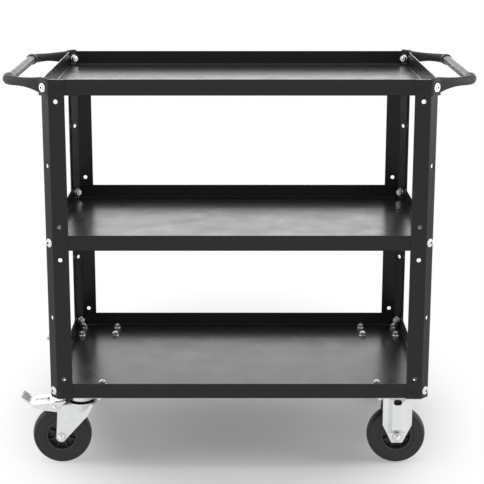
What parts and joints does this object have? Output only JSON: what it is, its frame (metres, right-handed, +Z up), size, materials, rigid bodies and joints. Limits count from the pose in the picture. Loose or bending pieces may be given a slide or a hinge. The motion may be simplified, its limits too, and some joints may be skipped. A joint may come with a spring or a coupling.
{
  "type": "rolling utility cart",
  "caption": "Rolling utility cart: lipped steel shelves bolted to folded corner posts, a push handle at each end, braked swivel castors on the left and fixed castors on the right.",
  "frame": {"origin": "on the floor under the middle of the cart", "axes": "+X along the cart towards the fixed castors, the front faces -Y, +Z up"},
  "size_m": [0.97, 0.507, 0.836],
  "materials": {
    "black_powder_coat": "semi-gloss black powder coat on folded sheet steel",
    "black_moulding": "satin black moulded plastic",
    "black_tube": "black painted steel tube",
    "zinc_sheet": "bright zinc plated pressed steel",
    "zinc_fastener": "bright zinc plated steel",
    "tread_steel": "dull zinc plated pressed steel",
    "wheel_plastic": "black moulded plastic",
    "wheel_rubber": "black solid rubber"
  },
  "bodies": {
    "cart": {"post_front_left": "black_powder_coat", "post_front_right": "black_powder_coat", "post_rear_left": "black_powder_coat", "post_rear_right": "black_powder_coat", "tray_top": "black_powder_coat", "tray_middle": "black_powder_coat", "tray_bottom": "black_powder_coat", "handle_arm_front_left": "black_moulding", "handle_arm_rear_left": "black_moulding", "handle_grip_left": "black_tube", "handle_arm_front_right": "black_moulding", "handle_arm_rear_right": "black_moulding", "handle_grip_right": "black_tube", "corner_bolts": "zinc_fastener", "corner_nuts": "zinc_fastener", "castor_bolts": "zinc_fastener", "castor_nuts": "zinc_fastener", "swivel_plate_front_left": "zinc_sheet", "kingpin_front_left": "zinc_fastener", "balls_front_left": "zinc_fastener", "swivel_plate_rear_left": "zinc_sheet", "kingpin_rear_left": "zinc_fastener", "balls_rear_left": "zinc_fastener", "fixed_fork_front_right": "zinc_sheet", "axle_bolt_front_right": "zinc_fastener", "axle_nut_front_right": "zinc_fastener", "axle_bush_front_right": "zinc_fastener", "fixed_fork_rear_right": "zinc_sheet", "axle_bolt_rear_right": "zinc_fastener", "axle_nut_rear_right": "zinc_fastener", "axle_bush_rear_right": "zinc_fastener"},
    "fork_body_front_left": {"fork_front_left": "zinc_sheet", "axle_bolt_front_left": "zinc_fastener", "axle_nut_front_left": "zinc_fastener", "axle_bush_front_left": "zinc_fastener", "brake_pin_front_left": "zinc_fastener"},
    "wheel_front_left": {"wheel_hub_front_left": "wheel_plastic", "wheel_tyre_front_left": "wheel_rubber"},
    "brake_front_left": {"brake_lever_front_left": "zinc_sheet", "brake_tread_front_left": "tread_steel", "brake_shoe_front_left": "zinc_sheet"},
    "fork_body_rear_left": {"fork_rear_left": "zinc_sheet", "axle_bolt_rear_left": "zinc_fastener", "axle_nut_rear_left": "zinc_fastener", "axle_bush_rear_left": "zinc_fastener", "brake_pin_rear_left": "zinc_fastener"},
    "wheel_rear_left": {"wheel_hub_rear_left": "wheel_plastic", "wheel_tyre_rear_left": "wheel_rubber"},
    "brake_rear_left": {"brake_lever_rear_left": "zinc_sheet", "brake_tread_rear_left": "tread_steel", "brake_shoe_rear_left": "zinc_sheet"},
    "wheel_front_right": {"wheel_hub_front_right": "wheel_plastic", "wheel_tyre_front_right": "wheel_rubber"},
    "wheel_rear_right": {"wheel_hub_rear_right": "wheel_plastic", "wheel_tyre_rear_right": "wheel_rubber"}
  },
  "joints": [
    {"name": "swivel_front_left", "type": "hinge", "parent": "cart", "child": "fork_body_front_left", "pos_m": [-0.336, -0.1965, 0.13], "axis": [0, 0, 1], "continuous": true},
    {"name": "wheel_spin_front_left", "type": "hinge", "parent": "fork_body_front_left", "child": "wheel_front_left", "pos_m": [-0.38, -0.1965, 0.0625], "axis": [0, 1, 0], "continuous": true},
    {"name": "brake_press_front_left", "type": "hinge", "parent": "fork_body_front_left", "child": "brake_front_left", "pos_m": [-0.391, -0.1965, 0.13], "axis": [0, -1, 0], "range_deg": [0, 7]},
    {"name": "swivel_rear_left", "type": "hinge", "parent": "cart", "child": "fork_body_rear_left", "pos_m": [-0.336, 0.1965, 0.13], "axis": [0, 0, 1], "continuous": true},
    {"name": "wheel_spin_rear_left", "type": "hinge", "parent": "fork_body_rear_left", "child": "wheel_rear_left", "pos_m": [-0.38, 0.1965, 0.0625], "axis": [0, 1, 0], "continuous": true},
    {"name": "brake_press_rear_left", "type": "hinge", "parent": "fork_body_rear_left", "child": "brake_rear_left", "pos_m": [-0.391, 0.1965, 0.13], "axis": [0, -1, 0], "range_deg": [0, 7]},
    {"name": "wheel_spin_front_right", "type": "hinge", "parent": "cart", "child": "wheel_front_right", "pos_m": [0.336, -0.1965, 0.0625], "axis": [0, 1, 0], "continuous": true},
    {"name": "wheel_spin_rear_right", "type": "hinge", "parent": "cart", "child": "wheel_rear_right", "pos_m": [0.336, 0.1965, 0.0625], "axis": [0, 1, 0], "continuous": true}
  ]
}
